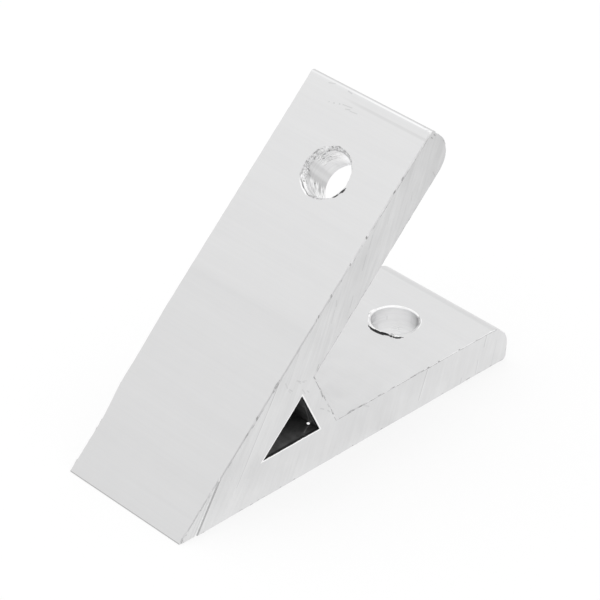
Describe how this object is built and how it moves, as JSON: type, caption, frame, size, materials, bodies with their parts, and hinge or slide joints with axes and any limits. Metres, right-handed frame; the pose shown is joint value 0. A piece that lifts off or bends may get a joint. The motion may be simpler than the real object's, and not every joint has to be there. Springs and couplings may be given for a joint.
{
  "type": "t slot corner bracket",
  "caption": "Acute corner bracket for slotted profile: flat legs that meet in a sharp corner, a web closing a triangular window, rounded tips and a bolt hole in each leg.",
  "frame": {"origin": "middle of the base leg's bolt hole, on the outer face that seats against the profile", "axes": "+X along the base leg, from the sharp corner to its tip; +Y along the width, square to the saw cuts; +Z out of the base leg's inner face, along its bolt hole, the way the bolt comes out"},
  "size_m": [0.0509, 0.018, 0.036],
  "materials": {
    "aluminium": "plain extruded aluminium, satin, with saw-cut ends and drilled holes, uncoated"
  },
  "bodies": {
    "root": {"bracket": "aluminium"}
  },
  "joints": []
}
